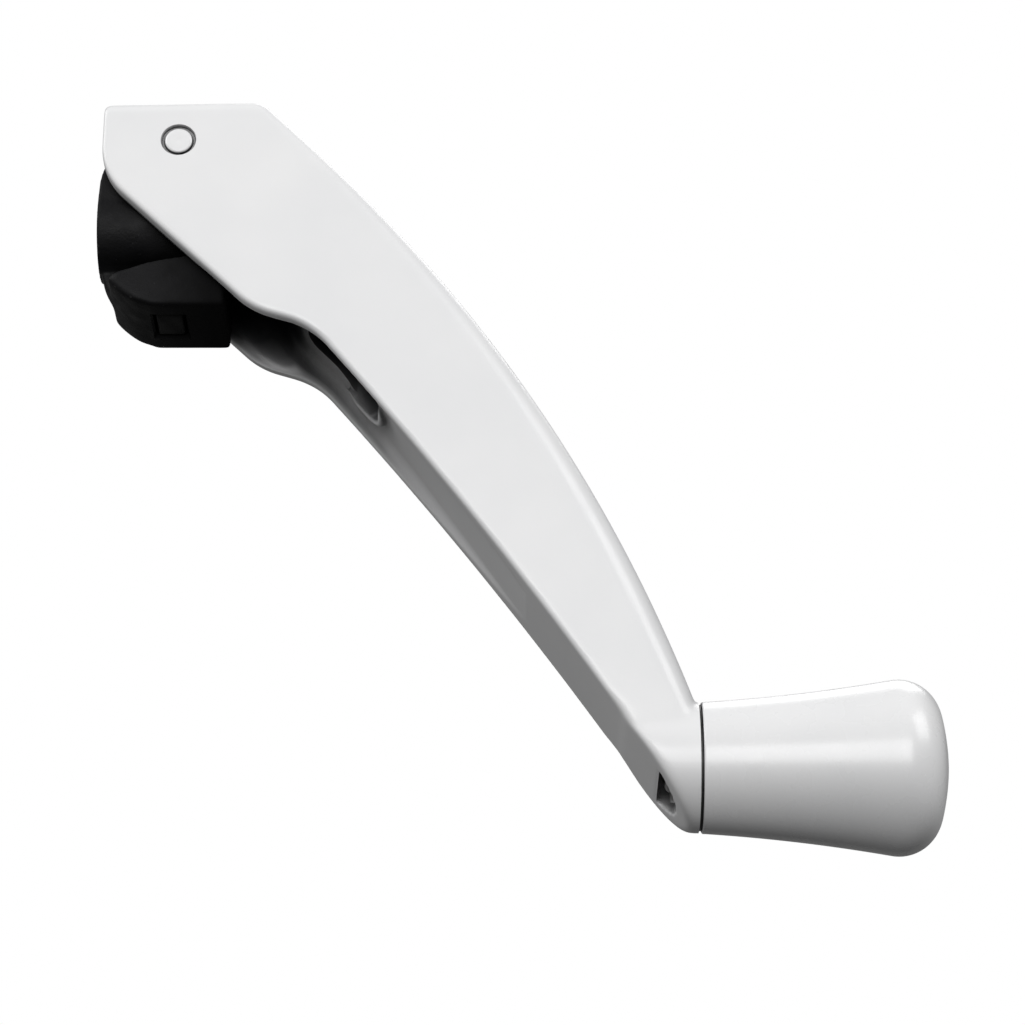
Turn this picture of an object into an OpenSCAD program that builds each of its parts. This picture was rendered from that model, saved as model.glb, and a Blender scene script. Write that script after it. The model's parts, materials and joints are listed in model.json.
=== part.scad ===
// Folding window crank handle: a cast arm that folds over a splined hub, with a free-spinning knob.
// Millimetres. X runs out from the window along the operator shaft, Z is up, Y is across the arm.
// The origin is the centre of the hub mouth, on the axis of the operator shaft.

/* [Arm] */
// Width across the two cheeks at the hub end
arm_w = 20.6; // [19.6:0.2:22]
// Width of the flat sides where they reach the knob boss
arm_end_w = 16.3; // [15.4:0.1:16.8]
// Gap between the two cheeks
cheek_gap = 15.0; // [14.8:0.1:15.4]
// Height of the flat top of the arm over the shaft axis, at the window end
arm_top = 17.1; // [16.6:0.1:17.8]
// Set-back of the arm's window end from the hub mouth
arm_start = 0.6; // [0.4:0.1:1.2]
// Rounding along the back at the hub end
back_r_hub = 2.0; // [1.2:0.1:3]
// Rounding along the back at the knob end
back_r_knob = 5.2; // [4:0.1:6]
// Depth of the open channel along the underside, beside the slot
channel_d = 1.8; // [1.4:0.1:2]

/* [Crank] */
// Crank radius, shaft axis to knob axis
crank_r = 84.2; // [84:0.1:84.6]
// Distance of the pivot pin from the hub mouth
pin_x = 11.8; // [11.6:0.1:12]
// Height of the pivot pin over the shaft axis
pin_z = 10.4; // [10.3:0.1:10.5]
// Largest fold of the arm towards the window, degrees
fold_max = 45; // [40:1:45]

/* [Hub] */
// Hub barrel diameter at the mouth
barrel_d = 14.4; // [13.8:0.1:14.5]
// Hub barrel diameter at the closed end
barrel_end_d = 13.8; // [13.2:0.1:14]
// Length of the hub along the shaft
hub_len = 19.1; // [18.8:0.1:19.2]
// Width of the square block under the barrel
block_w = 14.4; // [14:0.1:14.5]
// Depth of the block's flat underside below the shaft axis
block_z = 15; // [14.6:0.1:15]
// Operator shaft nominal spline diameter, 11/32 inch
spline_d = 8.73; // [8.5:0.01:8.9]
// Number of spline teeth
spline_n = 20; // [18:1:22]
// Depth of the splined socket
socket_len = 14; // [12:0.5:15]

/* [Pin] */
// Pivot pin diameter
pin_d = 4.1; // [3.8:0.1:4.4]
// Countersink diameter round the pin ends
pin_ring_d = 5.1; // [4.8:0.1:5.6]
// Thickness of each friction washer
washer_t = 0.6; // [0.5:0.1:0.7]
// Outside diameter of the bush the pin turns in
bush_d = 6; // [5.8:0.1:6.2]

/* [Knob] */
// Knob diameter at the seam
knob_base_d = 18.2; // [18:0.1:18.6]
// Length of the knob
knob_len = 34; // [32:0.1:36]
// Flare angle where the knob leaves the seam
knob_flare = 3.6; // [3:0.2:5]
// Position of the arm's end face along the shaft direction
boss_face = 86.5; // [86.3:0.1:86.7]
// Boss diameter at the seam
boss_d = 18; // [17.6:0.1:18.2]
// Stud diameter
stud_d = 5; // [4.6:0.1:5.4]
// Diameter of the pocket round the riveted tail of the stud
rivet_recess_d = 12.6; // [12:0.1:13]

/* [Hidden] */

white = [0.93, 0.93, 0.94];
black = [0.07, 0.07, 0.075];
steel = [0.72, 0.72, 0.74];
smoke = [0.2, 0.2, 0.21];
tan_nylon = [0.82, 0.79, 0.7];

// Running clearance, a margin that lets a cut break cleanly through a face, and a small overlap
slip = 0.05;
over = 1;
sink = 0.01;

// Paths are lists of [run, turn, steps]: walk that far while turning that much.
// lower_path follows the arm's window-side edge, back_path its top and convex back.
lower_start = [arm_start, 12.5];
lower_path = [[3, 0, 2], [8.7, 45.6, 8], [24.4, 0, 3], [5.6, 27, 6], [2.4, 0, 1],
              [7.2, -33.1, 7], [80.9, -7, 16]];
back_start = [arm_start, arm_top - 1];
back_path = [[1.55, -88.9, 5], [21.05, 0, 3], [2.4, -45.6, 6], [10, 0, 2], [102.4, -26.4, 26]];

// Matching distances along the two paths, [lower edge, back, steps to the next]
stations = [[0, 0, 10], [11.7, 4, 4], [36.1, 22.6, 8], [38.6, 25, 18], [51.3, 61, 22], [132.2, 137.4, 0]];

function arc_pt(p, h, run, turn, f) =
    turn == 0 ? p + run * f * [cos(h), sin(h)]
              : let (r = run / turn * 180 / PI)
                p + r * [sin(h + turn * f) - sin(h), cos(h) - cos(h + turn * f)];

function path_pt(p, h, segs, d, i = 0) =
    let (run = segs[i][0], turn = segs[i][1])
    (d <= run || i == len(segs) - 1)
        ? arc_pt(p, h, run, turn, d / run)
        : path_pt(arc_pt(p, h, run, turn, 1), h + turn, segs, d - run, i + 1);

function trail(p, h, segs, i = 0) =
    i == len(segs) ? [p]
        : concat([for (k = [0:segs[i][2] - 1]) arc_pt(p, h, segs[i][0], segs[i][1], k / segs[i][2])],
                 trail(arc_pt(p, h, segs[i][0], segs[i][1], 1), h + segs[i][1], segs, i + 1));

function lower_at(d) = path_pt(lower_start, -90, lower_path, d);
function back_at(d) = path_pt(back_start, 90, back_path, d);

// Half width of the flat sides: even over the hub, then tapering to the boss
taper_from = 30;
taper_to = 84;
function half_w(x) =
    x < taper_from ? arm_w / 2
                   : arm_w / 2 + (arm_end_w - arm_w) / 2 * (x - taper_from) / (taper_to - taper_from);

// Edge rounding on the back grows towards the knob
function back_r(x) =
    let (f = min(1, max(0, (x - 22) / 60))) back_r_hub + (back_r_knob - back_r_hub) * f;
edge_r = 0.8;
edge_steps = 2;
back_steps = 6;

// One cross-section of the arm, from the lower edge a to the back b, as an XYZ loop
function section_side(a, b) =
    let (span = norm(b - a), rb = min(back_r(b[0]), span / 2), re = min(edge_r, span / 4))
    concat(
        [for (k = [0:edge_steps]) let (t = 90 * k / edge_steps) [re * (1 - cos(t)), re * (1 - sin(t))]],
        [for (k = [0:back_steps]) let (t = 90 * k / back_steps) [span - rb * (1 - sin(t)), rb * (1 - cos(t))]]
    );

function section(a, b) =
    let (span = norm(b - a), dir = (b - a) / span, side = section_side(a, b), n = len(side))
    concat(
        [for (k = [0:n - 1]) let (q = a + dir * side[k][0]) [q[0], side[k][1] - half_w(q[0]), q[1]]],
        [for (k = [n - 1:-1:0]) let (q = a + dir * side[k][0]) [q[0], half_w(q[0]) - side[k][1], q[1]]]
    );

last = stations[len(stations) - 1];
end_back = back_at(last[1]);
arm_sections = concat(
    [for (i = [0:len(stations) - 2])
        let (s = stations[i], e = stations[i + 1])
        for (k = [0:s[2] - 1])
            section(lower_at(s[0] + (e[0] - s[0]) * k / s[2]), back_at(s[1] + (e[1] - s[1]) * k / s[2]))],
    [section(lower_at(last[0]), end_back)],
    [section([boss_face - 0.5, lower_at(last[0])[1]], [end_back[0] + 0.02, end_back[1] - 0.1])]
);

// Skin a list of equal loops into one closed body
module skin(loops) {
    m = len(loops[0]);
    n = len(loops);
    pts = [for (l = loops) for (p = l) p];
    start_cap = [[for (j = [m - 1:-1:0]) j]];
    end_cap = [[for (j = [0:m - 1]) (n - 1) * m + j]];
    sides = [for (i = [0:n - 2]) for (j = [0:m - 1]) for (t = [0:1])
        let (a = i * m + j, b = i * m + (j + 1) % m)
        t == 0 ? [a, b, a + m] : [b, b + m, a + m]];
    polyhedron(points = pts, faces = concat(start_cap, end_cap, sides));
}

// Extrude an XZ outline evenly to both sides of the middle plane
module across(w) {
    translate([0, w / 2, 0])
        rotate([90, 0, 0])
            linear_extrude(height = w)
                children();
}

// Round bar along X from x0 to x1 at height z
module bar_x(x0, x1, z, r, r2) {
    translate([x0, 0, z])
        rotate([0, 90, 0])
            cylinder(h = x1 - x0, r1 = r, r2 = is_undef(r2) ? r : r2, $fn = 96);
}

// Round bar along Y, centred on the middle plane, at the pivot
module bar_pin(w, r) {
    translate([pin_x, w / 2, pin_z])
        rotate([90, 0, 0])
            cylinder(h = w, r = r, $fn = 64);
}

// Clearances between the hub and the inside of the arm
lug_r = 4.15;
hub_right = hub_len - pin_x;
stop_gap = 0.15;
cavity_gap = 0.4;
cavity_top = pin_z + lug_r + 0.15;
cavity_r = norm([hub_right, pin_z + block_z]) + cavity_gap;
stop_off = hub_right + stop_gap;
stop_dir = [cos(fold_max), sin(fold_max)];
stop_top = cavity_top - pin_z;
stop_corner = [(stop_off - stop_top * stop_dir[1]) / stop_dir[0], stop_top];
stop_reach = sqrt(cavity_r * cavity_r - stop_off * stop_off);
stop_end = stop_off * stop_dir + stop_reach * [stop_dir[1], -stop_dir[0]];
stop_end_a = atan2(stop_end[1], stop_end[0]);
lip_a = -84;
cavity_steps = 20;

// Room between the cheeks for the hub, swept about the pivot
module hub_room() {
    open_x = -6 - pin_x;
    open_z = -block_z - 12;
    across(cheek_gap)
        translate([pin_x, pin_z])
            polygon(concat(
                [[open_x, stop_corner[1]], stop_corner],
                [for (k = [0:cavity_steps])
                    let (t = stop_end_a + (lip_a - stop_end_a) * k / cavity_steps)
                    cavity_r * [cos(t), sin(t)]],
                [[cavity_r * cos(lip_a), open_z], [open_x, open_z]]
            ));
}

// Open channel between the cheeks. Its floor is straight past the cheeks' wave, where it opens
// into the room for the hub, then runs a little under the edge and fades out towards the knob.
// Tables of [distance along the lower edge, value]
channel_depth = [[50, channel_d + 0.5], [54, channel_d + 0.15], [62, channel_d], [70, channel_d * 0.8],
                 [80, channel_d * 0.53], [90, channel_d * 0.25], [98, 0.02]];
channel_wall = [[30, 2.6], [38, 2.3], [46, 1.95], [52, 1.6], [58, 1.35], [98, 1.3]];
channel_r = 3;
channel_from = 34;
channel_to = 98;
channel_steps = 24;
channel_arc = 4;
channel_open = 14;
wave_end = 50;
floor_dip = 0.12;

function edge_dir(d) = let (v = lower_at(d + 0.5) - lower_at(d)) v / norm(v);
function inward(t) = [-t[1], t[0]];
function floor_at(d) =
    let (base = max(d, wave_end), t = edge_dir(base), back = min(0, d - wave_end))
    lower_at(base) + inward(t) * (lookup(d, channel_depth) - floor_dip * back) + t * back;
function channel_w(d) = half_w(lower_at(max(d, wave_end))[0]) - lookup(d, channel_wall);

// Half of a channel cross-section, [across, out from the floor]
function channel_side(w) =
    concat([[w, channel_open]],
           [for (k = [channel_arc:-1:0]) let (t = 90 * k / channel_arc)
               [w - channel_r + channel_r * sin(t), channel_r * (1 - cos(t))]]);

function channel_loop(d) =
    let (f = floor_at(d), n = inward(edge_dir(max(d, wave_end))), side = channel_side(channel_w(d)),
         last_k = len(side) - 1)
    concat(
        [for (k = [0:last_k]) [f[0] - n[0] * side[k][1], -side[k][0], f[1] - n[1] * side[k][1]]],
        [for (k = [last_k:-1:0]) [f[0] - n[0] * side[k][1], side[k][0], f[1] - n[1] * side[k][1]]]
    );

module channel() {
    skin([for (k = [0:channel_steps])
        channel_loop(channel_from + (channel_to - channel_from) * k / channel_steps)]);
}

// Deep slot in the floor of the channel
slot_from = 44.2;
slot_to = 61.4;
slot_w = 4.6;
slot_d = 9;
module slot() {
    p = floor_at(slot_from);
    q = floor_at(slot_to);
    a = atan2(q[1] - p[1], q[0] - p[0]);
    straight = norm(q - p) - slot_w;
    translate([p[0], 0, p[1]])
        rotate([0, -a, 0])
            translate([slot_w / 2, 0, -over])
                union() {
                    translate([0, -slot_w / 2, 0])
                        cube([straight, slot_w, slot_d + over]);
                    cylinder(h = slot_d + over, d = slot_w, $fn = 48);
                    translate([straight, 0, 0])
                        cylinder(h = slot_d + over, d = slot_w, $fn = 48);
                }
}

knob_z = -crank_r;
boss_from = 110;
recess_floor = boss_face - 3;
recess_back = boss_face - 5.6;

// Short round boss under the knob, trimmed to the slope of the underside
module boss() {
    a = lower_at(boss_from);
    b = lower_at(last[0]);
    low = b + (b - a) / norm(b - a) * boss_d;
    intersection() {
        bar_x(boss_face - 10.5, boss_face, knob_z, boss_d / 2);
        across(boss_d + 2 * over)
            polygon([a, low, low + [boss_d, 0], a + [2 * boss_d, 0]]);
    }
}

module arm_casting() {
    color(white)
        difference() {
            union() {
                skin(arm_sections);
                boss();
            }
            hub_room();
            channel();
            slot();
            bar_pin(arm_w + 2 * over, pin_d / 2);
            for (s = [0, 180])
                rotate([0, 0, s])
                    translate([s == 0 ? pin_x : -pin_x, -arm_w / 2 - 0.01, pin_z])
                        rotate([-90, 0, 0])
                            cylinder(h = 0.5, r1 = pin_ring_d / 2, r2 = pin_d / 2, $fn = 64);
            bar_x(recess_back, recess_floor, knob_z, rivet_recess_d / 2);
            bar_x(recess_floor - over, boss_face + over, knob_z, stud_d / 2);
        }
}

// Pin ends sit a little under the faces of the cheeks
module pivot_pin() {
    color(steel)
        bar_pin(arm_w - 0.2, pin_d / 2);
}

// Neck that rises from the barrel to the pivot lug, seen from the side
neck_w = cheek_gap - 2 * washer_t - 0.1;
chamfer_z = lug_r * sqrt(2) - hub_right;
lug_steps = 6;
module neck_outline() {
    polygon(concat(
        [[0.3, 0], [0.3, 6.2], [0.9, 8.3], [1.7, 9.8], [2.6, 11.2], [3.5, 12.5], [4.6, 13.6]],
        [[6.4, pin_z + lug_r]],
        [for (k = [0:lug_steps])
            let (t = 90 - 45 * k / lug_steps)
            [pin_x + lug_r * cos(t), pin_z + lug_r * sin(t)]],
        [[hub_len, pin_z + chamfer_z], [hub_len, 0]]
    ));
}

// Block under the barrel: a rounded nose towards the window, a sloping shoulder on top
nose = [[2, -11.4], [3, -12.6], [4.2, -13.8], [5.4, -14.5], [7.6, -block_z]];
shoulder = [[hub_len, -6], [13.9, -7.2], [10.3, -7.8], [6.7, -8.6], [3.8, -9.4], [2.2, -10.4]];
nose_r = 2;
nose_steps = 6;
foot_r = 0.5;
foot_steps = 3;

module nose_plan() {
    w = block_w / 2;
    corner = [for (k = [0:nose_steps]) let (t = 90 * k / nose_steps)
        [0.3 + nose_r * (1 - sin(t)), w - nose_r * (1 - cos(t))]];
    polygon(concat(
        [[hub_len, -w]],
        [for (k = [0:nose_steps]) [corner[k][0], -corner[k][1]]],
        [for (k = [nose_steps:-1:0]) corner[k]],
        [[hub_len, w]]
    ));
}

module foot_outline() {
    w = block_w / 2;
    corner = [for (k = [0:foot_steps]) let (t = 90 * k / foot_steps)
        [w - foot_r * (1 - sin(t)), foot_r * (1 - cos(t)) - block_z]];
    polygon(concat(
        [[-w, 0]],
        [for (k = [foot_steps:-1:0]) [-corner[k][0], corner[k][1]]],
        [for (k = [0:foot_steps]) corner[k]],
        [[w, 0]]
    ));
}

module block() {
    intersection() {
        across(block_w + over)
            polygon(concat(shoulder, nose, [[hub_len, -block_z]]));
        translate([0, 0, -block_z - over])
            linear_extrude(height = block_z)
                nose_plan();
        rotate([90, 0, 90])
            linear_extrude(height = hub_len)
                foot_outline();
    }
}

// Keel that joins the block to the barrel
keel_w = 3.6;
module keel_outline() {
    polygon([[0.3, -3], [hub_len, -3], [hub_len, -12], [2.5, -12], nose[0],
             [1.3, -10.2], [0.7, -8.6], [0.3, -6]]);
}

plug_x = 10.8;
plug_len = 4;
plug_w = 6.3;
plug_gap = 0.4;
plug_foot = 2.2;
module plug_block(grow, top) {
    translate([plug_x - plug_len / 2 - grow, -plug_w / 2 - grow, -block_z])
        cube([plug_len + 2 * grow, plug_w + 2 * grow, top]);
}
stem_cut = 1;
socket_wall_d = 11.6;

module hub_body() {
    color(black)
        difference() {
            union() {
                bar_x(0, hub_len, 0, barrel_d / 2, barrel_end_d / 2);
                across(neck_w)
                    neck_outline();
                block();
                across(keel_w)
                    keel_outline();
            }
            bar_x(-over, socket_len + 1, 0, socket_wall_d / 2);
            bar_pin(neck_w + 2 * over, bush_d / 2);
            translate([0, 0, -over])
                plug_block(plug_gap, plug_foot + over);
            translate([0, 0, plug_foot - sink])
                plug_block(-stem_cut, block_z - plug_foot);
        }
}

// Splined steel socket pressed into the hub
tip_r = spline_d / 2 - 0.4;
root_r = spline_d / 2 + 0.05;
module shaft_socket() {
    pitch = 360 / spline_n;
    color(steel)
        difference() {
            bar_x(0, socket_len + 1, 0, socket_wall_d / 2);
            bar_x(-over, socket_len, 0, tip_r);
            for (k = [0:spline_n - 1])
                rotate([k * pitch, 0, 0])
                    translate([-over, 0, 0])
                        rotate([0, 90, 0])
                            linear_extrude(height = socket_len + over)
                                polygon([
                                    [tip_r - 0.3, -0.42], [root_r, -0.2],
                                    [root_r, 0.2], [tip_r - 0.3, 0.42]
                                ]);
        }
}

// Plug that fills the window in the hub's underside and bears on the socket
module retainer_plug() {
    color(black)
        union() {
            plug_block(0, plug_foot);
            translate([0, 0, plug_foot - sink])
                plug_block(-stem_cut, block_z - plug_foot - socket_wall_d / 2 - slip);
        }
}

// Steel bush pressed into the hub, in which the pivot pin turns
module pivot_bush() {
    color(steel)
        difference() {
            bar_pin(neck_w, bush_d / 2);
            bar_pin(neck_w + 2 * over, pin_d / 2 + slip);
        }
}

// Two identical friction washers, one against each cheek
friction_d = 8;
module friction_washers() {
    color(steel)
        for (s = [-1, 1])
            translate([pin_x, s * (neck_w / 2 + washer_t / 2), pin_z])
                rotate([90, 0, 0])
                    difference() {
                        cylinder(h = washer_t, d = friction_d, center = true, $fn = 64);
                        cylinder(h = washer_t + over, d = pin_d + 0.2, center = true, $fn = 64);
                    }
}

seam_t = 0.3;
knob_base = boss_face + seam_t + 0.1;
knob_end = knob_base + knob_len;
bearing_len = 17;
head_r = 4.2;
head_t = 1.8;
thrust_t = 0.5;
thrust_x = knob_base + bearing_len + 0.1;
head_x = thrust_x + thrust_t;

// Shouldered stud riveted into the boss; its head is trapped inside the knob
module knob_stud() {
    color(steel)
        union() {
            bar_x(recess_floor - 1.4, head_x + 0.1, knob_z, stud_d / 2);
            bar_x(recess_floor - 2, recess_floor - 1.4, knob_z, 2.4, 3.4);
            bar_x(recess_floor - 1.4, recess_floor - 0.8, knob_z, 3.4);
            bar_x(head_x, head_x + head_t, knob_z, head_r);
        }
}

// Ring under the stud head that takes the pull on the knob
module thrust_washer() {
    color(steel)
        difference() {
            bar_x(thrust_x, head_x, knob_z, head_r);
            bar_x(thrust_x - over, head_x + over, knob_z, stud_d / 2);
        }
}

module stud_washer() {
    color(steel)
        difference() {
            bar_x(recess_floor - 0.8, recess_floor, knob_z, 4.8);
            bar_x(recess_floor - 2, recess_floor + over, knob_z, stud_d / 2);
        }
}

// Thin dark washer that shows as the seam line
module seam_washer() {
    color(smoke)
        difference() {
            bar_x(boss_face, boss_face + seam_t, knob_z, boss_d / 2 - 0.3);
            bar_x(boss_face - over, boss_face + seam_t + over, knob_z, stud_d / 2);
        }
}

// Knob outline from the seam to the rounded end, as [distance, radius]
knob_start = [0.5, knob_base_d / 2];
knob_path = [[26.3, 6, 8], [8.9, -85, 14], [5.8, -9, 4]];
sleeve_r = 5.6;
module knob_outline() {
    pts = trail(knob_start, knob_flare, knob_path);
    scale_x = (knob_len - knob_start[0]) / (pts[len(pts) - 1][0] - knob_start[0]);
    polygon(concat(
        [[0, 0], [0, knob_base_d / 2 - 0.5], [0.15, knob_base_d / 2 - 0.15]],
        [for (p = pts) [knob_start[0] + (p[0] - knob_start[0]) * scale_x, max(0, p[1])]],
        [[knob_len, 0]]
    ));
}

module knob_solid() {
    translate([knob_base, 0, knob_z])
        rotate([0, 90, 0])
            rotate_extrude($fn = 128)
                rotate([0, 0, 90])
                    mirror([0, 1, 0])
                        knob_outline();
}

module knob_shell() {
    color(white)
        difference() {
            knob_solid();
            bar_x(knob_base - over, knob_base + bearing_len + 6, knob_z, sleeve_r);
        }
}

module knob_sleeve() {
    color(tan_nylon)
        difference() {
            bar_x(knob_base, knob_base + bearing_len, knob_z, sleeve_r);
            bar_x(knob_base - over, knob_base + bearing_len + over, knob_z, stud_d / 2 + slip);
        }
}

arm_casting();
pivot_pin();
knob_stud();
stud_washer();
seam_washer();
hub_body();
shaft_socket();
retainer_plug();
pivot_bush();
friction_washers();
knob_shell();
knob_sleeve();
thrust_washer();
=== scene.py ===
"""Looks of the folding window crank handle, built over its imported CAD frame.

The scene is in metres, X out from the window and Z up. Shapes are worked out in millimetres.
"""

import json
import math

import bmesh
import bpy
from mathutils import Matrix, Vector


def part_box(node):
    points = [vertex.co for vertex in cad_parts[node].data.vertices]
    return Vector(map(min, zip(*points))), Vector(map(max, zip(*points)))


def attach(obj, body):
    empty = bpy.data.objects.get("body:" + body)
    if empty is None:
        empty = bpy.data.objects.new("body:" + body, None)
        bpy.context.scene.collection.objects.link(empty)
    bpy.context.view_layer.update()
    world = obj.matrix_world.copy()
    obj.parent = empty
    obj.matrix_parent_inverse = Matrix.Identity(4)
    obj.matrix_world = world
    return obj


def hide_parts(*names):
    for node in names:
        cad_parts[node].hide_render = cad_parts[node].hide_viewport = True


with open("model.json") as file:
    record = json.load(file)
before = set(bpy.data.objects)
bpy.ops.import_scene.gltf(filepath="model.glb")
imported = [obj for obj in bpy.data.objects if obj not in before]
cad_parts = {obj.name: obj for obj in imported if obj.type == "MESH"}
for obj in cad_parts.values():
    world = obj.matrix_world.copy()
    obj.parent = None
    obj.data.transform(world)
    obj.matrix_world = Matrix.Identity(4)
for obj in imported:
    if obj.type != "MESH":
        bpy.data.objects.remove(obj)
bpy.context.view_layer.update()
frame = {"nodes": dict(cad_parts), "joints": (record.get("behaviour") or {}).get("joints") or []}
nodes = frame["nodes"]
MM = 0.001


# ---------------------------------------------------------------- sizes, in mm, as in the CAD part
def joint_mm(name):
    """Place of a joint."""
    joint = next(j for j in frame["joints"] if j["name"] == name)
    return [c / MM for c in joint["pos_m"]]


def box_mm(name):
    """Low and high corner of a CAD node's box."""
    return [[c / MM for c in corner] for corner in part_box(name)]


PIN_X, _, PIN_Z = joint_mm("arm_fold")
KNOB_Z = joint_mm("knob_spin")[2]
PIN_CENTRE = (PIN_X, 0, PIN_Z)
KNOB_CENTRE = (0, 0, KNOB_Z)
STUD_R, PIN_R = 2.5, 2.05

# arm
(_, ARM_Y0, _), (BOSS_FACE, ARM_Y1, _) = box_mm("arm_casting")
ARM_W = ARM_Y1 - ARM_Y0
ARM_END_W = 16.3
CHEEK_GAP = 15.0
BOSS_R = 9.0
TAPER_FROM, TAPER_TO = 30.0, 84.0

# its two edges seen from the side, as a start and then runs of (length, turn in degrees)
LOWER_START = (0.6, 12.5)
LOWER_PATH = [(3, 0), (8.7, 45.6), (24.4, 0), (5.6, 27), (2.4, 0), (7.2, -33.1), (80.9, -7)]
BACK_START = (0.6, 16.1)
BACK_PATH = [(1.55, -88.9), (21.05, 0), (2.4, -45.6), (10, 0), (102.4, -26.4)]
LOWER_END, BACK_END = 132.2, 137.4
# cross-sections join these distances along both edges, in so many steps to the next
STATIONS = [(0, 0, 24), (11.7, 4, 12), (36.1, 22.6, 16), (38.6, 25, 36), (51.3, 61, 60)]
STATIONS += [(LOWER_END, BACK_END, 0)]
EDGE_R = 0.8
BACK_R, BACK_R_GAIN = 2.0, 3.2
BACK_R_FROM, BACK_R_OVER = 22, 60

# hub
(_, HUB_Y0, HUB_Z0), (HUB_LEN, HUB_Y1, _) = box_mm("hub_body")
PLUG_LO, PLUG_HI = box_mm("retainer_plug")
BLOCK_Z = -HUB_Z0
BLOCK_W = HUB_Y1 - HUB_Y0
WASHER_T, SIDE_SLACK = 0.6, 0.1
HUB_W = CHEEK_GAP - 2 * WASHER_T - SIDE_SLACK
LUG_R = 4.15
HUB_RIGHT = HUB_LEN - PIN_X
ROOM_GAP, SWEEP_GAP = 0.15, 0.4

# reach of a cutter to each side of the object
PAST = 12


def arc_point(p, h, run, turn, f):
    """Point at the share f of a run that starts at p with heading h."""
    if turn == 0:
        return (p[0] + run * f * math.cos(h), p[1] + run * f * math.sin(h))
    t = math.radians(turn)
    r = run / t
    return (p[0] + r * (math.sin(h + t * f) - math.sin(h)), p[1] + r * (math.cos(h) - math.cos(h + t * f)))


def path_point(p, h, path, d):
    """Point at the distance d along a path of runs."""
    for i, (run, turn) in enumerate(path):
        if d <= run or i == len(path) - 1:
            return arc_point(p, h, run, turn, d / run)
        p = arc_point(p, h, run, turn, 1)
        h += math.radians(turn)
        d -= run
    return p


def lower_at(d):
    return path_point(LOWER_START, -math.pi / 2, LOWER_PATH, d)


def back_at(d):
    return path_point(BACK_START, math.pi / 2, BACK_PATH, d)


def half_w(x):
    """Half the width of the arm at x."""
    if x < TAPER_FROM:
        return ARM_W / 2
    return ARM_W / 2 + (ARM_END_W - ARM_W) / 2 * (x - TAPER_FROM) / (TAPER_TO - TAPER_FROM)


def clamp(value):
    return min(1, max(0, value))


def quarter(steps):
    """Angles of a quarter turn, with both ends."""
    return [math.pi / 2 * k / steps for k in range(steps + 1)]


# ---------------------------------------------------------------- mesh helpers
def mesh_object(name, verts, faces):
    me = bpy.data.meshes.new(name)
    me.from_pydata([tuple(c * MM for c in v) for v in verts], [], faces)
    me.validate()
    bm = bmesh.new()
    bm.from_mesh(me)
    bmesh.ops.recalc_face_normals(bm, faces=bm.faces)
    bm.to_mesh(me)
    bm.free()
    ob = bpy.data.objects.new(name, me)
    bpy.context.scene.collection.objects.link(ob)
    return ob


def skin(name, loops):
    m, n = len(loops[0]), len(loops)
    verts = [p for loop in loops for p in loop]
    faces = [list(range(m)), [(n - 1) * m + j for j in range(m)]]
    for i in range(n - 1):
        for j in range(m):
            a, b = i * m + j, i * m + (j + 1) % m
            faces.append([a, b, b + m, a + m])
    return mesh_object(name, verts, faces)


def lathe(name, profile, segments, axis, at):
    """Turn (distance along, radius) points about an axis; the radius is 0 at both ends."""
    verts, rings = [], []
    for d, r in profile:
        if r < 1e-6:
            rings.append([len(verts)])
            verts.append((d, 0, 0))
        else:
            rings.append(list(range(len(verts), len(verts) + segments)))
            for k in range(segments):
                t = 2 * math.pi * k / segments
                verts.append((d, r * math.cos(t), r * math.sin(t)))
    faces = []
    for a, b in zip(rings, rings[1:]):
        for k in range(segments):
            k2 = (k + 1) % segments
            if len(a) == 1:
                faces.append([a[0], b[k], b[k2]])
            elif len(b) == 1:
                faces.append([a[k], b[0], a[k2]])
            else:
                faces.append([a[k], b[k], b[k2], a[k2]])
    turn = {"X": lambda p: p, "Y": lambda p: (p[1], p[0], -p[2])}[axis]
    verts = [tuple(c + o for c, o in zip(turn(v), at)) for v in verts]
    return mesh_object(name, verts, faces)


def prism(name, outline, lo, hi, axis="Y"):
    """Extrude an outline: of (y, z) along X, of (x, z) along Y, or of (x, y) along Z."""
    place = {"X": lambda a, b, c: (c, a, b), "Y": lambda a, b, c: (a, c, b), "Z": lambda a, b, c: (a, b, c)}
    n = len(outline)
    verts = [place[axis](a, b, c) for c in (lo, hi) for a, b in outline]
    faces = [list(range(n)), list(range(2 * n - 1, n - 1, -1))]
    faces += [[i, (i + 1) % n, n + (i + 1) % n, n + i] for i in range(n)]
    return mesh_object(name, verts, faces)


def bar(name, axis, at, r, d0, d1, r1=None, segments=96):
    """Solid bar from d0 to d1, with the radius r1 at its far end if that is given."""
    profile = [(d0, 0), (d0, r), (d1, r if r1 is None else r1), (d1, 0)]
    return lathe(name, profile, segments, axis, at)


def box_mesh(name, lo, hi):
    outline = [(lo[0], lo[2]), (hi[0], lo[2]), (hi[0], hi[2]), (lo[0], hi[2])]
    return prism(name, outline, lo[1], hi[1])


def apply_modifiers(ob):
    dg = bpy.context.evaluated_depsgraph_get()
    me = bpy.data.meshes.new_from_object(ob.evaluated_get(dg))
    old = ob.data
    ob.modifiers.clear()
    ob.data = me
    bpy.data.meshes.remove(old)


def boolean(ob, cutter, operation="DIFFERENCE"):
    m = ob.modifiers.new("cut", "BOOLEAN")
    m.operation = operation
    m.solver = "EXACT"
    m.object = cutter
    apply_modifiers(ob)
    bpy.data.objects.remove(cutter)


def smooth(ob, rounds, group=""):
    s = ob.modifiers.new("smooth", "SMOOTH")
    s.factor = 0.5
    s.iterations = rounds
    s.vertex_group = group
    apply_modifiers(ob)


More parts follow.
